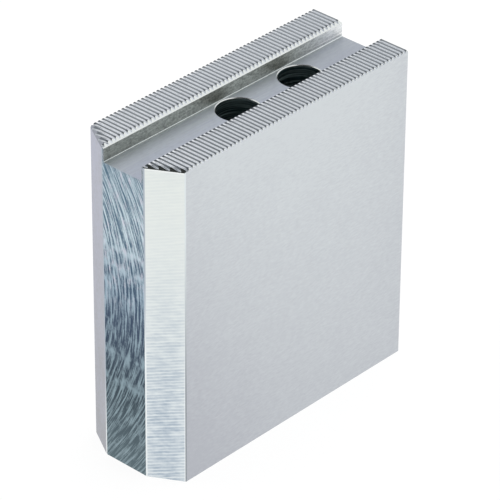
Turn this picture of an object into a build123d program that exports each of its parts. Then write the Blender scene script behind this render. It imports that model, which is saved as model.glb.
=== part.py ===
from build123d import *
import math
import os

# Machinable soft jaw of a power chuck, one piece of mild steel, in millimetres.
# It stands on its clamping face with the serrated mounting face up.
# X runs from the pointed nose to the rear end, Y across the jaw and Z up.
# The origin is the middle of the rectangle that encloses the clamping face.

# Bar stock and the two nose faces
jaw_length = 95.0
jaw_width = 35.0
jaw_height = 100.0
sawn_width = 15.5
nose_angle = 30.0

# Key slot that takes the T-nuts
key_slot_width = 14.0
key_slot_depth = 5.0
key_slot_corner = 0.3
key_slot_bevel = 0.9

# Serration, straight teeth across the jaw
tooth_pitch = 1.5
tooth_angle = 60.0
crest_flat = 0.35
root_flat = 0.35
first_crest = 1.27

# Two stepped holes for socket head cap screws
bolt_spacing = 25.0
rear_bolt_setback = 25.0
bolt_hole_diameter = 13.0
head_bore_diameter = 20.0
bolt_land = 18.0
hole_rim_break = 0.2
head_bore_break = 0.5

# Bevels of the serrated face, broken edges and the overrun of every cut
nose_bevel = 0.85
side_bevel = 0.2
edge_break = 0.25
overrun = 2.0

# Places that follow from the sizes above
nose_end = -jaw_length / 2
rear_end = jaw_length / 2
nose_depth = (jaw_width - sawn_width) / 2 * math.tan(math.radians(nose_angle))
slot_floor = jaw_height - key_slot_depth
seat_level = slot_floor - bolt_land
flank_run = (tooth_pitch - crest_flat - root_flat) / 2
tooth_depth = flank_run / math.tan(math.radians(tooth_angle) / 2)
rear_bolt = rear_end - rear_bolt_setback
bolt_places = [rear_bolt - bolt_spacing, rear_bolt]


def bar_with_nose():
    """Bar cut to length, its front milled to a point that the raw saw cut truncates."""
    tip = sawn_width / 2
    side = jaw_width / 2
    outline = Polyline(
        (nose_end, -tip),
        (nose_end + nose_depth, -side),
        (rear_end, -side),
        (rear_end, side),
        (nose_end + nose_depth, side),
        (nose_end, tip),
        close=True,
    )
    return extrude(make_face(outline), amount=jaw_height)


def bevel_outer_edges(jaw):
    """Bevels round the serrated face, then the small breaks on all other outer edges."""
    top = jaw.edges().group_by(Axis.Z)[-1]
    sides = top.filter_by(Axis.X)
    ends = top.filter_by(Axis.Y)
    nose = top - sides - ends
    jaw = chamfer(nose, nose_bevel)
    top = jaw.edges().group_by(Axis.Z)[-1]
    jaw = chamfer(top.filter_by(Axis.X), side_bevel)
    jaw = chamfer(jaw.edges().group_by(Axis.Z)[0], edge_break)
    return chamfer(jaw.edges().filter_by(Axis.Z), edge_break)


def key_slot():
    """Slot along the jaw with bevelled upper edges and a small radius at its floor."""
    half = key_slot_width / 2
    bevel_foot = jaw_height - key_slot_bevel
    reach = key_slot_bevel + overrun
    outline = Polyline(
        (-half - reach, jaw_height + overrun),
        (-half, bevel_foot),
        (-half, slot_floor),
        (half, slot_floor),
        (half, bevel_foot),
        (half + reach, jaw_height + overrun),
        close=True,
    )
    section = make_face(outline)
    section = fillet(section.vertices().group_by(Axis.Y)[0], key_slot_corner)
    return extrude(Plane.YZ * section, amount=jaw_length / 2 + overrun, both=True)


def serration():
    """Comb of tooth spaces across the whole jaw, from before the nose to past the rear."""
    crest = nose_end + first_crest - tooth_pitch
    half_crest = crest_flat / 2
    root_level = jaw_height - tooth_depth
    points = [(crest, jaw_height + overrun)]
    while crest < rear_end:
        following = crest + tooth_pitch
        points.append((crest + half_crest, jaw_height))
        points.append((crest + half_crest + flank_run, root_level))
        points.append((following - half_crest - flank_run, root_level))
        points.append((following - half_crest, jaw_height))
        crest = following
    points.append((crest, jaw_height + overrun))
    comb = make_face(Polyline(*points, close=True))
    return extrude(Plane.XZ * comb, amount=jaw_width / 2 + overrun, both=True)


def stepped_hole():
    """Clear hole from the slot floor, widened from the clamping face for the screw head."""
    hole = bolt_hole_diameter / 2
    bore = head_bore_diameter / 2
    section = Polyline(
        (0, -overrun),
        (bore + head_bore_break + overrun, -overrun),
        (bore, head_bore_break),
        (bore, seat_level),
        (hole, seat_level),
        (hole, slot_floor - hole_rim_break),
        (hole + hole_rim_break, slot_floor),
        (hole + hole_rim_break, slot_floor + overrun),
        (0, slot_floor + overrun),
        close=True,
    )
    return revolve(Plane.XZ * make_face(section), axis=Axis.Z)


def soft_jaw():
    """The finished jaw, with every cut in the order it is machined."""
    jaw = bevel_outer_edges(bar_with_nose())
    jaw -= key_slot()
    hole = stepped_hole()
    for place in bolt_places:
        jaw -= Pos(place, 0, 0) * hole
    jaw -= serration()
    return jaw


os.makedirs("parts", exist_ok=True)
export_step(soft_jaw(), "parts/soft_jaw.step")
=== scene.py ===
import math

import bmesh
import bpy
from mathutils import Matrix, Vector, noise


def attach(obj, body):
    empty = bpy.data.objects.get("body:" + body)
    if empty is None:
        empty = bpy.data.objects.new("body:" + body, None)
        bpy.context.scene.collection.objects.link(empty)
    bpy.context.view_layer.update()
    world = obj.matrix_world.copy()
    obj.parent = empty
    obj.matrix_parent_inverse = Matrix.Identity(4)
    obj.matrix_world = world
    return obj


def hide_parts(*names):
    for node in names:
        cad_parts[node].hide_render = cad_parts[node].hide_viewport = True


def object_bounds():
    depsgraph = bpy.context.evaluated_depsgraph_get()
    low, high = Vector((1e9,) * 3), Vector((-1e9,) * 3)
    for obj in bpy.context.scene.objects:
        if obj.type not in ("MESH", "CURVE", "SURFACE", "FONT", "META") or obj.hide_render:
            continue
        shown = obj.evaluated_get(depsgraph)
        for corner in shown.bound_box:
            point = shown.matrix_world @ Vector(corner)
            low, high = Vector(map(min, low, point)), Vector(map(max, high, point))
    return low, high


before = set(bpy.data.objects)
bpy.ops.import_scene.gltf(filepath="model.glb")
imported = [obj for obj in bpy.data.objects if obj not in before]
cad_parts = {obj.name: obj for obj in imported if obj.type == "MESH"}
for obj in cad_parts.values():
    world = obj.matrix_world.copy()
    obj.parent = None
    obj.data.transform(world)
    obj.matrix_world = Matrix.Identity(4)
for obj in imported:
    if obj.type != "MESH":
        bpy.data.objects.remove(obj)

cad_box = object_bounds()


# The bar. A length of mild steel flat bar, 35 mm wide, its long sides surface-ground before
# anything else is cut. The whole jaw is worked out of this one block, so it is one mesh, and
# each later section finds the faces that its cutter leaves and gives them their own finish.
MM = 0.001
half_length, half_width, jaw_height = cad_box[1]

jaw_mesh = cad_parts["soft_jaw"].data.copy()
jaw_mesh.name = "soft_jaw_machined"
jaw_mesh.materials.clear()
if "custom_normal" in jaw_mesh.attributes:
    jaw_mesh.attributes.remove(jaw_mesh.attributes["custom_normal"])
jaw = bpy.data.objects.new("soft_jaw_machined", jaw_mesh)
bpy.context.scene.collection.objects.link(jaw)

steel_work = bmesh.new()
steel_work.from_mesh(jaw_mesh)
bmesh.ops.remove_doubles(steel_work, verts=steel_work.verts, dist=0.0005 * MM)
finishes = []


def srgb(code):
    """A colour written as #RRGGBB, as linear light."""
    parts = [int(code[i:i + 2], 16) / 255 for i in (1, 3, 5)]
    return [c / 12.92 if c <= 0.04045 else ((c + 0.055) / 1.055) ** 2.4 for c in parts] + [1.0]


def add(finish, kind, sockets=None, out=None, **settings):
    """Adds one node with its settings and what goes into its sockets. Returns its output."""
    node = finish.node_tree.nodes.new(kind)
    for name, value in settings.items():
        setattr(node, name, value)
    for name, value in (sockets or {}).items():
        if isinstance(value, bpy.types.NodeSocket):
            finish.node_tree.links.new(value, node.inputs[name])
        else:
            node.inputs[name].default_value = value
    return node.outputs[out] if out else next(o for o in node.outputs if o.enabled)


def bare_steel(name, roughness, colour="#FFFFFF"):
    """A bare steel finish. The colour may be replaced by a pattern. Returns it and its shader."""
    finish = bpy.data.materials.new(name)
    finish.use_nodes = True
    shader = finish.node_tree.nodes["Principled BSDF"]
    shader.inputs["Metallic"].default_value = 1.0
    shader.inputs["Roughness"].default_value = roughness
    shader.inputs["Base Color"].default_value = srgb(colour)
    return finish, shader


def grain(finish, x, y, z, detail=3.0, place=None):
    """Marks on the steel of about these sizes in millimetres along X, Y and Z, from 0 to 1."""
    stretched = add(finish, "ShaderNodeMapping", {
        "Vector": place or add(finish, "ShaderNodeTexCoord", out="Object"),
        "Scale": (1 / (x * MM), 1 / (y * MM), 1 / (z * MM)),
    })
    return add(finish, "ShaderNodeTexNoise", {
        "Vector": stretched,
        "Scale": 1.0,
        "Detail": detail,
        "Roughness": 0.55,
    }, out="Fac")


# A face is square to an axis from this share of its direction on, and another direction may be
# off by the slack. A hair is a distance that is nothing on the jaw.
square = 0.999
slack = 0.02
hair = 0.01 * MM


def machine(finish, test, smooth=False):
    """Gives the finish to every face whose middle and direction pass the test."""
    if finish not in finishes:
        finishes.append(finish)
    found = [f for f in steel_work.faces if test(f.calc_center_median(), f.normal)]
    for face in found:
        face.material_index = finishes.index(finish)
        face.smooth = smooth
    return found


# Ground mild steel: even grey with a cool tint, with painted shade that darkens it from the top
# towards the foot and the nose. The lines of the wheel run along the bar. The real ones are
# 0.05 mm apart, and these are drawn at 0.42 mm.
wheel_line_spacing = 0.42

# How much darker the painted shade makes the foot than the top, at the bar's middle, and how
# that changes in a metre rearwards. The third value, times the distance from the middle in
# metres and squared, is how much painted shade darkens the steel towards both ends.
shade_at_middle = 0.7
shade_rearwards = -7.0
shade_at_ends = 11.0
ground_steel, shader = bare_steel("ground_mild_steel", 0.34)
place = add(ground_steel, "ShaderNodeTexCoord", out="Object")
along = add(ground_steel, "ShaderNodeSeparateXYZ", {"Vector": place}, out="X")
height = add(ground_steel, "ShaderNodeSeparateXYZ", {"Vector": place}, out="Z")
below = add(ground_steel, "ShaderNodeMapRange", {
    "Value": height, "From Min": jaw_height, "From Max": 0.0})
towards_nose = add(ground_steel, "ShaderNodeMath", {
    0: along, 1: shade_rearwards, 2: shade_at_middle}, operation="MULTIPLY_ADD")
from_middle = add(ground_steel, "ShaderNodeMath", {0: along, 1: shade_at_ends},
                  operation="MULTIPLY")
from_middle = add(ground_steel, "ShaderNodeMath", {0: from_middle, 1: 2.0}, operation="POWER")
shade_and_grain = add(ground_steel, "ShaderNodeMath", {0: below, 1: towards_nose, 2: from_middle},
             operation="MULTIPLY_ADD")
wheel_lines = grain(ground_steel, 1.7, 1.7, wheel_line_spacing)
cloud = grain(ground_steel, 12, 12, 9, detail=2.0)
for mark, share in ((wheel_lines, 1.0), (cloud, 0.2)):
    shade_and_grain = add(ground_steel, "ShaderNodeMath", {0: mark, 1: share, 2: shade_and_grain},
                 operation="MULTIPLY_ADD")
shade_and_grain = add(ground_steel, "ShaderNodeMapRange", {
    "Value": shade_and_grain, "From Min": 0.65, "From Max": 1.65})
colour = add(ground_steel, "ShaderNodeMix", {
    "Factor": shade_and_grain, "A": srgb("#CFD4D7"), "B": srgb("#B5B8BF")}, data_type="RGBA")
ground_steel.node_tree.links.new(colour, shader.inputs["Base Color"])
bump = add(ground_steel, "ShaderNodeBump", {"Height": wheel_lines, "Distance": 0.01 * MM})
ground_steel.node_tree.links.new(bump, shader.inputs["Normal"])
machine(ground_steel, lambda middle, facing: True)


# The nose. Two faces milled at 30 degrees on the front corners, so that three jaws can close
# on a small bore. The cutter leaves feed lines across the right face, and the left one is
# smooth, as the sides are.
nose_angle = math.radians(30)
nose_forward = math.cos(nose_angle)
nose_sideways = math.sin(nose_angle)


def on_nose(side):
    """Test for the nose face on one side of the jaw."""
    return lambda middle, facing: (
        abs(facing.x + nose_forward) < slack and abs(facing.y - side * nose_sideways) < slack
    )


# Milled mild steel, brighter than the ground sides by painted highlight, with feed lines 1 mm
# apart that show more towards the foot, and a little painted shade towards the foot. The lines
# rise a little towards the side, and painted highlights brighten the face's upper edge and the
# lower part of its outer edge.
feed_spacing = 1.0 * MM
feed_rise = 0.235  # rise of a feed line for each millimetre towards the side
face_outer = -17.0 * MM
face_inner = -8.0 * MM
milled_steel, shader = bare_steel("milled_mild_steel", 0.3)
place = add(milled_steel, "ShaderNodeTexCoord", out="Object")
height = add(milled_steel, "ShaderNodeSeparateXYZ", {"Vector": place}, out="Z")
across_face = add(milled_steel, "ShaderNodeSeparateXYZ", {"Vector": place}, out="Y")
feed_height = add(milled_steel, "ShaderNodeMath", {0: across_face, 1: feed_rise, 2: height},
                  operation="MULTIPLY_ADD")
along_feed = add(milled_steel, "ShaderNodeCombineXYZ", {"Y": across_face, "Z": feed_height})
waver = grain(milled_steel, 30, 30, 9, detail=1.0, place=along_feed)
feed = add(milled_steel, "ShaderNodeMath", {0: feed_height, 1: 1 / feed_spacing, 2: waver},
           operation="MULTIPLY_ADD")
feed = add(milled_steel, "ShaderNodeMath", {0: feed, 1: 2 * math.pi}, operation="MULTIPLY")
feed = add(milled_steel, "ShaderNodeMath", {0: feed}, operation="SINE")
feed = add(milled_steel, "ShaderNodeMapRange", {
    "Value": feed, "From Min": 0.1, "From Max": 0.95})
fine = grain(milled_steel, 6, 6, 0.9, place=along_feed)
blotch = grain(milled_steel, 2.2, 2.2, 1.2)
painted_foot_shade = add(milled_steel, "ShaderNodeMapRange", {
    "Value": height, "From Min": 85 * MM, "From Max": 15 * MM})
shown = add(milled_steel, "ShaderNodeMapRange", {
    "Value": height, "From Min": 75 * MM, "From Max": 20 * MM, "To Min": 0.12, "To Max": 1.0})
from_middle = add(milled_steel, "ShaderNodeMapRange", {
    "Value": across_face, "From Min": face_outer, "From Max": face_inner,
    "To Min": -1.0, "To Max": 1.0})
from_middle = add(milled_steel, "ShaderNodeMath", {0: from_middle, 1: 2.0}, operation="POWER")
marks = fine
for mark, share in ((feed, -0.27), (blotch, 0.6), (from_middle, -0.16)):
    marks = add(milled_steel, "ShaderNodeMath", {0: mark, 1: share, 2: marks},
                operation="MULTIPLY_ADD")
marks = add(milled_steel, "ShaderNodeMapRange", {
    "Value": marks, "From Min": 0.41, "From Max": 0.94})
marks = add(milled_steel, "ShaderNodeMath", {0: marks, 1: shown}, operation="MULTIPLY")
# Painted shade: the light colour turns a little darker towards the foot.
light = add(milled_steel, "ShaderNodeMix", {
    "Factor": painted_foot_shade, "A": srgb("#E4E9E6"), "B": srgb("#DEE5E8")}, data_type="RGBA")
colour = add(milled_steel, "ShaderNodeMix", {
    "Factor": marks, "A": light, "B": srgb("#A6B4C2")}, data_type="RGBA")
# Painted highlights along the upper edge, and along the outer edge in the lower half.
top_edge = add(milled_steel, "ShaderNodeMapRange", {
    "Value": height, "From Min": 98.6 * MM, "From Max": 99.1 * MM})
side_edge = add(milled_steel, "ShaderNodeMapRange", {
    "Value": across_face, "From Min": face_outer, "From Max": face_outer - 0.2 * MM,
    "To Max": 0.8})
lower_half = add(milled_steel, "ShaderNodeMapRange", {
    "Value": height, "From Min": 60 * MM, "From Max": 20 * MM})
side_edge = add(milled_steel, "ShaderNodeMath", {0: side_edge, 1: lower_half},
                operation="MULTIPLY")
edge_highlight = add(milled_steel, "ShaderNodeMath", {0: top_edge, 1: side_edge},
                operation="MAXIMUM")
colour = add(milled_steel, "ShaderNodeMix", {
    "Factor": edge_highlight, "A": colour, "B": srgb("#F4F7F7")}, data_type="RGBA")
milled_steel.node_tree.links.new(colour, shader.inputs["Base Color"])
bump = add(milled_steel, "ShaderNodeBump", {
    "Height": marks, "Distance": 0.006 * MM}, invert=True)
milled_steel.node_tree.links.new(bump, shader.inputs["Normal"])
machine(milled_steel, on_nose(-1))

# Ground mild steel on the left nose face: cloudy and finely speckled, made greyer than the sides
# and darker towards the foot by painted shade.
lighter_upwards = 8.0  # in a metre
ground_nose, shader = bare_steel("ground_mild_steel_nose", 0.34)
place = add(ground_nose, "ShaderNodeTexCoord", out="Object")
height = add(ground_nose, "ShaderNodeSeparateXYZ", {"Vector": place}, out="Z")
tone = grain(ground_nose, 8, 8, 14)
speckle = grain(ground_nose, 1.2, 1.2, 0.8, detail=2.0)
for mark, share in ((height, lighter_upwards), (speckle, 1.6)):
    tone = add(ground_nose, "ShaderNodeMath", {0: mark, 1: share, 2: tone},
               operation="MULTIPLY_ADD")
tone = add(ground_nose, "ShaderNodeMapRange", {
    "Value": tone, "From Min": 1.1, "From Max": 2.2})
colour = add(ground_nose, "ShaderNodeMix", {
    "Factor": tone, "A": srgb("#94969C"), "B": srgb("#A7AABA")}, data_type="RGBA")
ground_nose.node_tree.links.new(colour, shader.inputs["Base Color"])
machine(ground_nose, on_nose(1))


# The sawn ends. The bar is cut off with a saw, and the nose tip and the rear end stay as the
# blade leaves them: bowed score lines, under a tenth of a millimetre deep, with smeared bands
# where the stroke turns.
score_depth = 0.08 * MM
bow_middle = 53 * MM
bow_curve = 7.3  # a score's bow, in metres, a metre above or below the bow's middle

# Each end is cut into small cells, so that the scores can be pressed in. Next to the rim they
# are pressed in by less.
cell_width = 0.4 * MM
cell_height = 0.8 * MM
cells_across = 87
cells_up = 125
rim_share = 0.4

# Coarse and fine scores: their share of the depth, how many there are per millimetre across
# and along, and their layer of the noise.
score_kinds = ((0.7, 0.8, 0.03, 3.1), (0.5, 1.9, 0.06, 7.7))


def across_scores(point):
    """How far a point lies across the saw's score lines, in millimetres."""
    from_middle = point.z - bow_middle
    return (-point.y + bow_curve * from_middle * from_middle) / MM


def score_at(point):
    """Depth of the saw's scores at a point, from 0 to 1."""
    depth = 0.5
    for share, per_mm_across, per_mm_along, layer in score_kinds:
        spot = (across_scores(point) * per_mm_across, point.z / MM * per_mm_along, layer)
        depth += share * noise.noise(Vector(spot))
    return min(1.0, max(0.0, depth))


def sawn_faces(end):
    """The faces of one sawn end, however far it has been cut up."""
    index = finishes.index(sawn_steel)
    return [
        f for f in steel_work.faces
        if f.material_index == index and f.normal.x * end > square
    ]


# Sawn mild steel: dull and blue-grey, with score lines 0.6 to 1.2 mm apart, darkened in their
# grooves by painted shade. Below the middle painted shade makes the ground dark, and the crests
# of the scores are light. Above it the steel is lighter, with patches of lavender tint.
sawn_steel, shader = bare_steel("sawn_mild_steel", 0.48)
across_layer = steel_work.verts.layers.float.new("across_scores")
for end in (-1, 1):
    found = machine(sawn_steel, lambda middle, facing: (
        facing.x * end > square and middle.x * end > half_length - hair
    ), smooth=True)
    bmesh.ops.dissolve_faces(steel_work, faces=found)
    for direction, first, cells, step in (
        ((0, 1, 0), -half_width, cells_across, cell_width),
        ((0, 0, 1), 0, cells_up, cell_height),
    ):
        for i in range(1, cells):
            faces = sawn_faces(end)
            edges = {e for f in faces for e in f.edges}
            verts = {v for f in faces for v in f.verts}
            bmesh.ops.bisect_plane(
                steel_work, geom=[*faces, *edges, *verts], dist=0.001 * MM,
                plane_co=Vector(direction) * (first + i * step), plane_no=direction,
            )
    sawn = set(sawn_faces(end))
    rim = {v for f in sawn for v in f.verts if any(g not in sawn for g in v.link_faces)}
    near_rim = {e.other_vert(v) for v in rim for e in v.link_edges} - rim
    for vert in {v for f in sawn for v in f.verts}:
        vert[across_layer] = across_scores(vert.co)
        if vert not in rim:
            deep = score_depth * score_at(vert.co)
            vert.co.x -= end * deep * (rim_share if vert in near_rim else 1.0)

# The strokes of the saw show 1.35 mm apart, and waver by up to about two strokes.
stroke_spacing = 1.35
stroke_waver = 2.2
across = add(sawn_steel, "ShaderNodeAttribute", out="Fac", attribute_name="across_scores")
place = add(sawn_steel, "ShaderNodeTexCoord", out="Object")
height = add(sawn_steel, "ShaderNodeSeparateXYZ", {"Vector": place}, out="Z")
up = add(sawn_steel, "ShaderNodeMath", {0: height, 1: 1 / MM}, operation="MULTIPLY")
cuts = []
for spacing, run in ((2.2, 12.0), (0.8, 8.0), (0.38, 6.0)):
    line = add(sawn_steel, "ShaderNodeCombineXYZ", {
        "X": add(sawn_steel, "ShaderNodeMath", {0: across, 1: 1 / spacing}, operation="MULTIPLY"),
        "Y": add(sawn_steel, "ShaderNodeMath", {0: up, 1: 1 / run}, operation="MULTIPLY"),
        "Z": spacing,
    })
    cuts.append(add(sawn_steel, "ShaderNodeTexNoise", {
        "Vector": line, "Scale": 1.0, "Detail": 2.0, "Roughness": 0.5}, out="Fac"))
coarse_cuts, middle_cuts, fine_cuts = cuts
stroke = add(sawn_steel, "ShaderNodeMath", {0: across, 1: 1 / stroke_spacing},
             operation="MULTIPLY")
stroke = add(sawn_steel, "ShaderNodeMath", {0: coarse_cuts, 1: stroke_waver, 2: stroke},
             operation="MULTIPLY_ADD")
stroke = add(sawn_steel, "ShaderNodeMath", {0: stroke, 1: 2 * math.pi}, operation="MULTIPLY")
stroke = add(sawn_steel, "ShaderNodeMath", {0: stroke}, operation="SINE")
speckle = grain(sawn_steel, 0.6, 0.6, 0.6, detail=2.0)
upper_half = add(sawn_steel, "ShaderNodeMapRange", {
    "Value": height, "From Min": 48 * MM, "From Max": 60 * MM})
scores = add(sawn_steel, "ShaderNodeMath", {0: fine_cuts, 1: 1.8}, operation="MULTIPLY")
for mark, share in ((middle_cuts, 0.6), (stroke, 0.16), (speckle, 0.4), (upper_half, -0.11)):
    scores = add(sawn_steel, "ShaderNodeMath", {0: mark, 1: share, 2: scores},
                 operation="MULTIPLY_ADD")
scores = add(sawn_steel, "ShaderNodeMapRange", {
    "Value": scores, "From Min": 1.06, "From Max": 1.52})

# The smeared bands lie 27, 36, 64 and 70 mm above the foot.
smeared = 0.5
hardly_smeared = 0.3
smear = grain(sawn_steel, 3.0, 2.0, 3.4, detail=4.0)
up_share = add(sawn_steel, "ShaderNodeMath", {0: height, 1: jaw_height}, operation="DIVIDE")
bands = add(sawn_steel, "ShaderNodeValToRGB", {"Fac": up_share}, out="Color")
ramp = bands.node.color_ramp
for element, position in zip(ramp.elements, (0.0, 1.0)):
    element.position = position
    element.color = (hardly_smeared, hardly_smeared, hardly_smeared, 1)
for centre in (27, 36, 64, 70):
    for offset, level in ((-3, hardly_smeared), (0, smeared), (3, hardly_smeared)):
        stop = ramp.elements.new((centre + offset) * MM / jaw_height)
        stop.color = (level, level, level, 1)
smear = add(sawn_steel, "ShaderNodeMath", {0: smear, 1: bands}, operation="ADD")
smear = add(sawn_steel, "ShaderNodeMapRange", {
    "Value": smear, "From Min": 0.86, "From Max": 1.1})

# Painted shade: both colours are darker low down, darkest about a quarter of the way up.
light = add(sawn_steel, "ShaderNodeValToRGB", {"Fac": up_share}, out="Color")
dark = add(sawn_steel, "ShaderNodeValToRGB", {"Fac": up_share}, out="Color")
for shade, stops in (
    (light, (
        (0.0, "#91A2A9"), (0.25, "#8DA1AA"), (0.48, "#95A9B6"), (0.58, "#A6BAC8"),
        (0.78, "#CEDEE5"), (0.94, "#B6C7D1"), (0.96, "#A4ADB5"),
    )),
    (dark, (
        (0.0, "#617279"), (0.25, "#3F4D57"), (0.48, "#425268"), (0.58, "#465C72"),
        (0.78, "#60798C"), (0.94, "#607B8D"), (0.96, "#7D8890"),
    )),
):
    ramp = shade.node.color_ramp
    while len(ramp.elements) < len(stops):
        ramp.elements.new(0.5)
    for element, (position, code) in zip(ramp.elements, stops):
        element.position = position
        element.color = srgb(code)
tint = grain(sawn_steel, 3.0, 1.5, 3.0, detail=2.0)
tint = add(sawn_steel, "ShaderNodeMapRange", {
    "Value": tint, "From Min": 0.5, "From Max": 0.68, "To Max": 0.8})
tint = add(sawn_steel, "ShaderNodeMath", {0: tint, 1: upper_half}, operation="MULTIPLY")
light = add(sawn_steel, "ShaderNodeMix", {
    "Factor": tint, "A": light, "B": srgb("#CFCFDB")}, data_type="RGBA")
scored = add(sawn_steel, "ShaderNodeMix", {
    "Factor": scores, "A": light, "B": dark}, data_type="RGBA")
colour = add(sawn_steel, "ShaderNodeMix", {
    "Factor": smear, "A": scored, "B": light}, data_type="RGBA")
sawn_steel.node_tree.links.new(colour, shader.inputs["Base Color"])
bump = add(sawn_steel, "ShaderNodeBump", {
    "Height": scores, "Distance": 0.03 * MM}, invert=True)
sawn_steel.node_tree.links.new(bump, shader.inputs["Normal"])


# The broken edges. The upright edges and the ones round the clamping face are broken 0.25 mm
# with a file, and painted highlight makes them bright. At the top the nose faces and the slot
# have wider bevels, milled before the teeth, and the long sides a break of 0.2 mm.
uprights_end = 99.5 * MM
foot_breaks_end = 0.3 * MM
bevels_start = 99 * MM


def upright(angle):
    """Test for the upright edges that face within 2 degrees of this angle off the front."""
    return lambda middle, facing: (
        abs(facing.z) < slack and middle.z < uprights_end
        and abs(math.degrees(math.atan2(abs(facing.y), -facing.x)) - angle) < 2
    )


filed_highlight_steel = bare_steel("filed_mild_steel", 0.25, "#E3E7E6")[0]
machine(filed_highlight_steel, upright(135))
machine(filed_highlight_steel, lambda middle, facing: (
    -0.9 < facing.z < -0.5 and middle.z < foot_breaks_end
))

# Filed steel between the nose and the sides, with a painted highlight that is bright at the top
# and fades lower down.
nose_edge_steel, shader = bare_steel("filed_mild_steel_nose_edge", 0.3)
place = add(nose_edge_steel, "ShaderNodeTexCoord", out="Object")
height = add(nose_edge_steel, "ShaderNodeSeparateXYZ", {"Vector": place}, out="Z")
highlight_fade = add(nose_edge_steel, "ShaderNodeMapRange", {
    "Value": height, "From Min": 80 * MM, "From Max": 30 * MM})
colour = add(nose_edge_steel, "ShaderNodeMix", {
    "Factor": highlight_fade, "A": srgb("#DDE4E6"), "B": srgb("#979DA3")}, data_type="RGBA")
nose_edge_steel.node_tree.links.new(colour, shader.inputs["Base Color"])
machine(nose_edge_steel, upright(60))

# Filed steel on either side of the saw cut, with a painted highlight: dull higher up and bright
# lower down, on the right more than on the left.
highlight_slant = 2.2  # how much higher the right edge is bright, for each millimetre across
saw_edge_steel, shader = bare_steel("filed_mild_steel_by_saw_cut", 0.4)
place = add(saw_edge_steel, "ShaderNodeTexCoord", out="Object")
height = add(saw_edge_steel, "ShaderNodeSeparateXYZ", {"Vector": place}, out="Z")
side = add(saw_edge_steel, "ShaderNodeSeparateXYZ", {"Vector": place}, out="Y")
highlight_reach = add(saw_edge_steel, "ShaderNodeMath", {0: side, 1: highlight_slant, 2: height},
           operation="MULTIPLY_ADD")
highlight_reach = add(saw_edge_steel, "ShaderNodeMapRange", {
    "Value": highlight_reach, "From Min": 23 * MM, "From Max": 45 * MM})
colour = add(saw_edge_steel, "ShaderNodeMix", {
    "Factor": highlight_reach, "A": srgb("#EEF3F4"), "B": srgb("#AEB7C1")}, data_type="RGBA")
saw_edge_steel.node_tree.links.new(colour, shader.inputs["Base Color"])
machine(saw_edge_steel, upright(15))

# The bevels of the slot and of the long sides carry the same painted highlight as the filed
# edges.
machine(filed_highlight_steel, lambda middle, facing: (
    abs(facing.z - abs(facing.y)) < slack and facing.z > 0.6 and middle.z > bevels_start
))

# Milled steel on the nose bevels: greyer than the filed edges. Painted shade makes the right
# bevel darker than the left one.
for side, name, code in ((-1, "right", "#8A918F"), (1, "left", "#969AA3")):
    bevel_steel = bare_steel("milled_steel_bevel_" + name, 0.3, code)[0]
    machine(bevel_steel, lambda middle, facing: (
        facing.x < -0.5 and 0.6 < facing.z < 0.8 and facing.y * side > -0.1
    ))


# The key slot. An end mill cuts it 14 mm wide and 5 mm deep along the whole jaw, for the keys
# of the T-nuts. Its floor is smooth and matt, and its walls show the side of the cutter.
half_slot = 7 * MM
slot_floor = jaw_height - 5 * MM
corner_radius = 0.3 * MM

# End-milled mild steel, floor: lavender grey with faint streaks along the cut and a faint
# mottling, and a little darker towards the rear end.
lighter_leftwards = 45.0  # in a metre
slot_steel, shader = bare_steel("end_milled_steel_floor", 0.5)
lines = grain(slot_steel, 25, 0.5, 20)
place = add(slot_steel, "ShaderNodeTexCoord", out="Object")
side = add(slot_steel, "ShaderNodeSeparateXYZ", {"Vector": place}, out="Y")
by_wall = add(slot_steel, "ShaderNodeMath", {0: side, 1: lighter_leftwards, 2: lines},
              operation="MULTIPLY_ADD")
by_wall = add(slot_steel, "ShaderNodeMapRange", {
    "Value": by_wall, "From Min": 0.2, "From Max": 0.95})
colour = add(slot_steel, "ShaderNodeMix", {
    "Factor": by_wall, "A": srgb("#B5BBCA"), "B": srgb("#C7CED2")}, data_type="RGBA")
along = add(slot_steel, "ShaderNodeSeparateXYZ", {"Vector": place}, out="X")
rearwards = add(slot_steel, "ShaderNodeMapRange", {
    "Value": along, "From Min": 0.0, "From Max": half_length, "To Max": 0.5})
colour = add(slot_steel, "ShaderNodeMix", {
    "Factor": rearwards, "A": colour, "B": srgb("#A5AAB2")}, data_type="RGBA")
mottle = grain(slot_steel, 1.8, 0.8, 1.8)
mottle = add(slot_steel, "ShaderNodeMapRange", {
    "Value": mottle, "From Min": 0.4, "From Max": 0.68, "To Max": 0.14})
colour = add(slot_steel, "ShaderNodeMix", {
    "Factor": mottle, "A": colour, "B": srgb("#868B94")}, data_type="RGBA")
slot_steel.node_tree.links.new(colour, shader.inputs["Base Color"])
machine(slot_steel, lambda middle, facing: (
    facing.z > square and abs(middle.z - slot_floor) < hair
))

# End-milled mild steel, walls: a warmer grey with chatter marks and small dark pits. Towards the
# rear end a painted reflection makes it neutral and lighter, and painted shade darkens it near
# the floor and the nose.
slot_wall_steel, shader = bare_steel("end_milled_steel_wall", 0.55)
place = add(slot_wall_steel, "ShaderNodeTexCoord", out="Object")
along = add(slot_wall_steel, "ShaderNodeSeparateXYZ", {"Vector": place}, out="X")
height = add(slot_wall_steel, "ShaderNodeSeparateXYZ", {"Vector": place}, out="Z")
rearwards = add(slot_wall_steel, "ShaderNodeMapRange", {
    "Value": along, "From Min": 26 * MM, "From Max": 42 * MM})
chatter = grain(slot_wall_steel, 1.8, 8, 0.5)
pits = grain(slot_wall_steel, 0.6, 0.6, 0.5, detail=2.0)
chatter = add(slot_wall_steel, "ShaderNodeMath", {0: pits, 1: 0.8, 2: chatter},
              operation="MULTIPLY_ADD")
chatter = add(slot_wall_steel, "ShaderNodeMapRange", {
    "Value": chatter, "From Min": 0.69, "From Max": 1.07})
light = add(slot_wall_steel, "ShaderNodeMix", {
    "Factor": rearwards, "A": srgb("#D9DDD6"), "B": srgb("#FBFDFE")}, data_type="RGBA")
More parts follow.
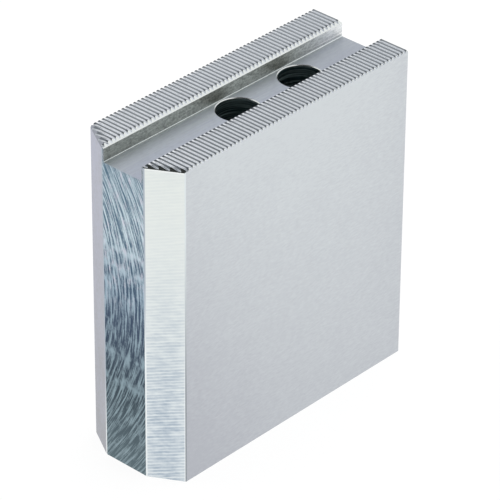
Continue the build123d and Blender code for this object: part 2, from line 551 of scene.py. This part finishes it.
dark = add(slot_wall_steel, "ShaderNodeMix", {
    "Factor": rearwards, "A": srgb("#A0A49E"), "B": srgb("#DADEE0")}, data_type="RGBA")
colour = add(slot_wall_steel, "ShaderNodeMix", {
    "Factor": chatter, "A": dark, "B": light}, data_type="RGBA")
# Painted shade near the floor and near the nose.
near_floor = add(slot_wall_steel, "ShaderNodeMapRange", {
    "Value": height, "From Min": slot_floor + 3 * MM, "From Max": slot_floor + 0.5 * MM,
    "To Max": 0.22})
near_nose = add(slot_wall_steel, "ShaderNodeMapRange", {
    "Value": along, "From Min": -25 * MM, "From Max": -45 * MM, "To Max": 0.18})
shaded = add(slot_wall_steel, "ShaderNodeMath", {0: near_floor, 1: near_nose}, operation="ADD")
colour = add(slot_wall_steel, "ShaderNodeMix", {
    "Factor": shaded, "A": colour, "B": srgb("#505450")}, data_type="RGBA")

# A white line 1.1 mm above the floor, over the last 10 mm before the rear end.
line_height = slot_floor + 1.1 * MM
off_line = add(slot_wall_steel, "ShaderNodeMath", {0: height, 1: line_height},
               operation="SUBTRACT")
off_line = add(slot_wall_steel, "ShaderNodeMath", {0: off_line}, operation="ABSOLUTE")
on_line = add(slot_wall_steel, "ShaderNodeMapRange", {
    "Value": off_line, "From Min": 0.25 * MM, "From Max": 0.05 * MM})
near_rear = add(slot_wall_steel, "ShaderNodeMapRange", {
    "Value": along, "From Min": 35 * MM, "From Max": 40 * MM})
on_line = add(slot_wall_steel, "ShaderNodeMath", {0: on_line, 1: near_rear},
              operation="MULTIPLY")
colour = add(slot_wall_steel, "ShaderNodeMix", {
    "Factor": on_line, "A": colour, "B": srgb("#FFFFFF")}, data_type="RGBA")
slot_wall_steel.node_tree.links.new(colour, shader.inputs["Base Color"])
machine(slot_wall_steel, lambda middle, facing: (
    abs(facing.z) < slack and abs(abs(middle.y) - half_slot) < hair and middle.z > slot_floor
))


def in_corner(least, most):
    """Test for the slot's corner radius where it faces upwards by these shares."""
    return lambda middle, facing: (
        least < facing.z < most and abs(middle.y) < half_slot and abs(facing.x) < slack
        and slot_floor < middle.z < slot_floor + corner_radius
    )


# The small radius between wall and floor, its middle made bright by a painted highlight.
machine(slot_wall_steel, in_corner(0.02, 0.98), smooth=True)
corner_highlight_steel = bare_steel("steel_corner_painted_highlight", 0.3, "#DFE8EB")[0]
machine(corner_highlight_steel, in_corner(0.25, 0.75), smooth=True)


# The serration. A form cutter mills straight 60 degree teeth across both rails, 1.5 mm apart,
# which lock into the master jaw. The roots and the lower flanks are bright, and painted shade
# darkens the crests with the flanks just under them.
flank_angle = math.radians(60 / 2)
lighter_rearwards = 7.4  # in a metre
lighter_leftwards = 12.0  # in a metre
flank_steel, shader = bare_steel("form_milled_steel_tooth", 0.3)
place = add(flank_steel, "ShaderNodeTexCoord", out="Object")
height = add(flank_steel, "ShaderNodeSeparateXYZ", {"Vector": place}, out="Z")
along = add(flank_steel, "ShaderNodeSeparateXYZ", {"Vector": place}, out="X")
side = add(flank_steel, "ShaderNodeSeparateXYZ", {"Vector": place}, out="Y")
outwards = add(flank_steel, "ShaderNodeMath", {0: side}, operation="ABSOLUTE")
up_tooth = add(flank_steel, "ShaderNodeMapRange", {
    "Value": height, "From Min": jaw_height - 0.26 * MM, "From Max": jaw_height - 0.1 * MM},
    clamp=False)

# Painted shade darkens the teeth over the last millimetre towards both ends. Where they run out
# through the nose bevels painted shade turns them a darker grey, from 2 mm behind the nose faces
# on.
nose_distance = 45.01 * MM
inner_end = add(flank_steel, "ShaderNodeMapRange", {
    "Value": outwards, "From Min": 8.9 * MM, "From Max": 8.1 * MM})
outer_end = add(flank_steel, "ShaderNodeMapRange", {
    "Value": outwards, "From Min": 16.5 * MM, "From Max": 17.2 * MM})
tooth_end = add(flank_steel, "ShaderNodeMath", {0: inner_end, 1: outer_end},
                operation="MAXIMUM")
behind_nose = add(flank_steel, "ShaderNodeMath", {
    0: outwards, 1: -nose_sideways, 2: nose_distance}, operation="MULTIPLY_ADD")
behind_nose = add(flank_steel, "ShaderNodeMath", {
    0: along, 1: nose_forward, 2: behind_nose}, operation="MULTIPLY_ADD")
run_out = add(flank_steel, "ShaderNodeMapRange", {
    "Value": behind_nose, "From Min": 2.0 * MM, "From Max": 0.7 * MM})
shade_waver = grain(flank_steel, 3, 1.5, 3)
for mark, share in ((run_out, 1.5), (tooth_end, 0.7), (shade_waver, 0.4)):
    up_tooth = add(flank_steel, "ShaderNodeMath", {0: mark, 1: share, 2: up_tooth},
                   operation="MULTIPLY_ADD")
up_tooth = add(flank_steel, "ShaderNodeMapRange", {
    "Value": up_tooth, "From Min": 0.2, "From Max": 1.2})
# Painted shade: the crests lighter towards the rear and left, the bright flanks darker to the
# rear.
rearwards = add(flank_steel, "ShaderNodeMapRange", {
    "Value": along, "From Min": -half_length, "From Max": half_length})
to_rear_left = add(flank_steel, "ShaderNodeMath", {0: along, 1: lighter_rearwards, 2: 0.5},
                   operation="MULTIPLY_ADD")
to_rear_left = add(flank_steel, "ShaderNodeMath", {
    0: side, 1: lighter_leftwards, 2: to_rear_left}, operation="MULTIPLY_ADD")
light = add(flank_steel, "ShaderNodeMix", {
    "Factor": rearwards, "A": srgb("#F4F7FB"), "B": srgb("#E2E6EB")}, data_type="RGBA")
dark = add(flank_steel, "ShaderNodeMix", {
    "Factor": to_rear_left, "A": srgb("#60666C"), "B": srgb("#868C92")}, data_type="RGBA")
light = add(flank_steel, "ShaderNodeMix", {
    "Factor": run_out, "A": light, "B": srgb("#BCC1C6")}, data_type="RGBA")
tip_share = add(flank_steel, "ShaderNodeMath", {0: tooth_end, 1: 0.75}, operation="MULTIPLY")
dark = add(flank_steel, "ShaderNodeMix", {
    "Factor": tip_share, "A": dark, "B": srgb("#3C4248")}, data_type="RGBA")
colour = add(flank_steel, "ShaderNodeMix", {
    "Factor": up_tooth, "A": light, "B": dark}, data_type="RGBA")
flank_steel.node_tree.links.new(colour, shader.inputs["Base Color"])
machine(flank_steel, lambda middle, facing: (
    abs(abs(facing.x) - math.cos(flank_angle)) < slack
    and abs(facing.z - math.sin(flank_angle)) < slack
))
machine(flank_steel, lambda middle, facing: facing.z > square and middle.z > bevels_start)


# The bolt holes. Two 13 mm holes are drilled through the slot's floor, and from the clamping
# face each is bored out to 20 mm for the head of its M12 screw.
bolt_places = (-2.5 * MM, 22.5 * MM)
head_bore_radius = 10 * MM
rim_break = 0.2 * MM
bore_break = 0.5 * MM


def from_bolt(point):
    """Distance of a point from the axis of the nearer hole."""
    return min(math.hypot(point.x - x, point.y) for x in bolt_places)


# Drilled mild steel: dark, with rings from the drill 0.8 mm apart.
drilled_steel, shader = bare_steel("drilled_mild_steel", 0.42)
rings = grain(drilled_steel, 30, 30, 0.8)
rings = add(drilled_steel, "ShaderNodeMapRange", {
    "Value": rings, "From Min": 0.45, "From Max": 0.68})
colour = add(drilled_steel, "ShaderNodeMix", {
    "Factor": rings, "A": srgb("#536A70"), "B": srgb("#DCECEC")}, data_type="RGBA")
drilled_steel.node_tree.links.new(colour, shader.inputs["Base Color"])
machine(drilled_steel, lambda middle, facing: (
    from_bolt(middle) < head_bore_radius + bore_break + hair
    and middle.z < slot_floor - hair and facing.z > -square
), smooth=True)
# Painted highlight: the rim breaks of the holes are as bright as the filed edges.
machine(filed_highlight_steel, lambda middle, facing: (
    from_bolt(middle) < head_bore_radius and facing.z > 0.3
    and slot_floor - rim_break < middle.z < slot_floor - hair
), smooth=True)

for edge in steel_work.edges:
    if len(edge.link_faces) == 2 and edge.calc_face_angle() > math.radians(30):
        edge.smooth = False
steel_work.to_mesh(jaw_mesh)
steel_work.free()
for finish in finishes:
    jaw_mesh.materials.append(finish)
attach(jaw, "root")
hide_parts("soft_jaw")


# The studio. The jaw stands on a plain white floor in a white tent, with a dark card overhead
# that gives the upward bevels and the roots of the teeth something to reflect.
scene = bpy.context.scene
scene.view_settings.view_transform = "Standard"


def flat_sheet(name, x_range, y_range, level):
    """A flat sheet of the studio at one level. Returns it."""
    (x0, x1), (y0, y1) = x_range, y_range
    mesh = bpy.data.meshes.new(name)
    mesh.from_pydata(
        [(x0, y0, level), (x1, y0, level), (x1, y1, level), (x0, y1, level)],
        [], [(0, 1, 2, 3)],
    )
    sheet = bpy.data.objects.new(name, mesh)
    scene.collection.objects.link(sheet)
    return sheet


def matt(sheet, name, code):
    """Gives the sheet a matt material in one colour. Returns it and its shader."""
    material = bpy.data.materials.new(name)
    material.use_nodes = True
    shader = material.node_tree.nodes["Principled BSDF"]
    shader.inputs["Base Color"].default_value = srgb(code)
    shader.inputs["Roughness"].default_value = 1.0
    sheet.data.materials.append(material)
    return material, shader


floor_reach = (-4.0, 4.0)
glow_strength = 1.08
glow_share = 0.82
floor = flat_sheet("studio_floor", floor_reach, floor_reach, 0)
floor.location.z = -0.05 * MM
white_floor, shader = matt(floor, "white_studio_floor", "#FFFFFF")
shader.inputs["Specular IOR Level"].default_value = 0.0
glow = add(white_floor, "ShaderNodeEmission", {
    "Color": srgb("#FFFFFF"), "Strength": glow_strength})
lit = add(white_floor, "ShaderNodeMixShader", {
    0: glow_share, 1: shader.outputs["BSDF"], 2: glow})
white_floor.node_tree.links.new(
    lit, white_floor.node_tree.nodes["Material Output"].inputs["Surface"])

card_along = (-1.2, -0.15)
card_across = (-0.7, 0.35)
card_height = 0.9
card = flat_sheet("dark_card", card_along, card_across, card_height)
card.visible_camera = False
matt(card, "black_card", "#202020")

tent = bpy.data.worlds.new("white_tent")
tent.use_nodes = True
tent.node_tree.nodes["Background"].inputs["Color"].default_value = srgb("#FFFFFF")
tent.node_tree.nodes["Background"].inputs["Strength"].default_value = 1.0
scene.world = tent


# The camera. It stands a metre away, in front of the nose and to the right, and looks down
# through a long lens.
camera_distance = 1.0331
camera_data = bpy.data.cameras.new("camera")
camera_data.sensor_width = 36.0
camera_data.lens = 267.025
camera_data.clip_end = 50.0
camera = bpy.data.objects.new("camera", camera_data)
scene.collection.objects.link(camera)
turn, down, tilt = (math.radians(a) for a in (47.454, 32.171, 0.428))
look = Vector((math.sin(turn) * math.cos(down), math.cos(turn) * math.cos(down), -math.sin(down)))
aim = Vector((2.39, 0, 47.78)) * MM
camera.location = aim - look * camera_distance
camera.rotation_euler = look.to_track_quat("-Z", "Y").to_euler()
camera.rotation_euler.rotate_axis("Z", tilt)
scene.camera = camera
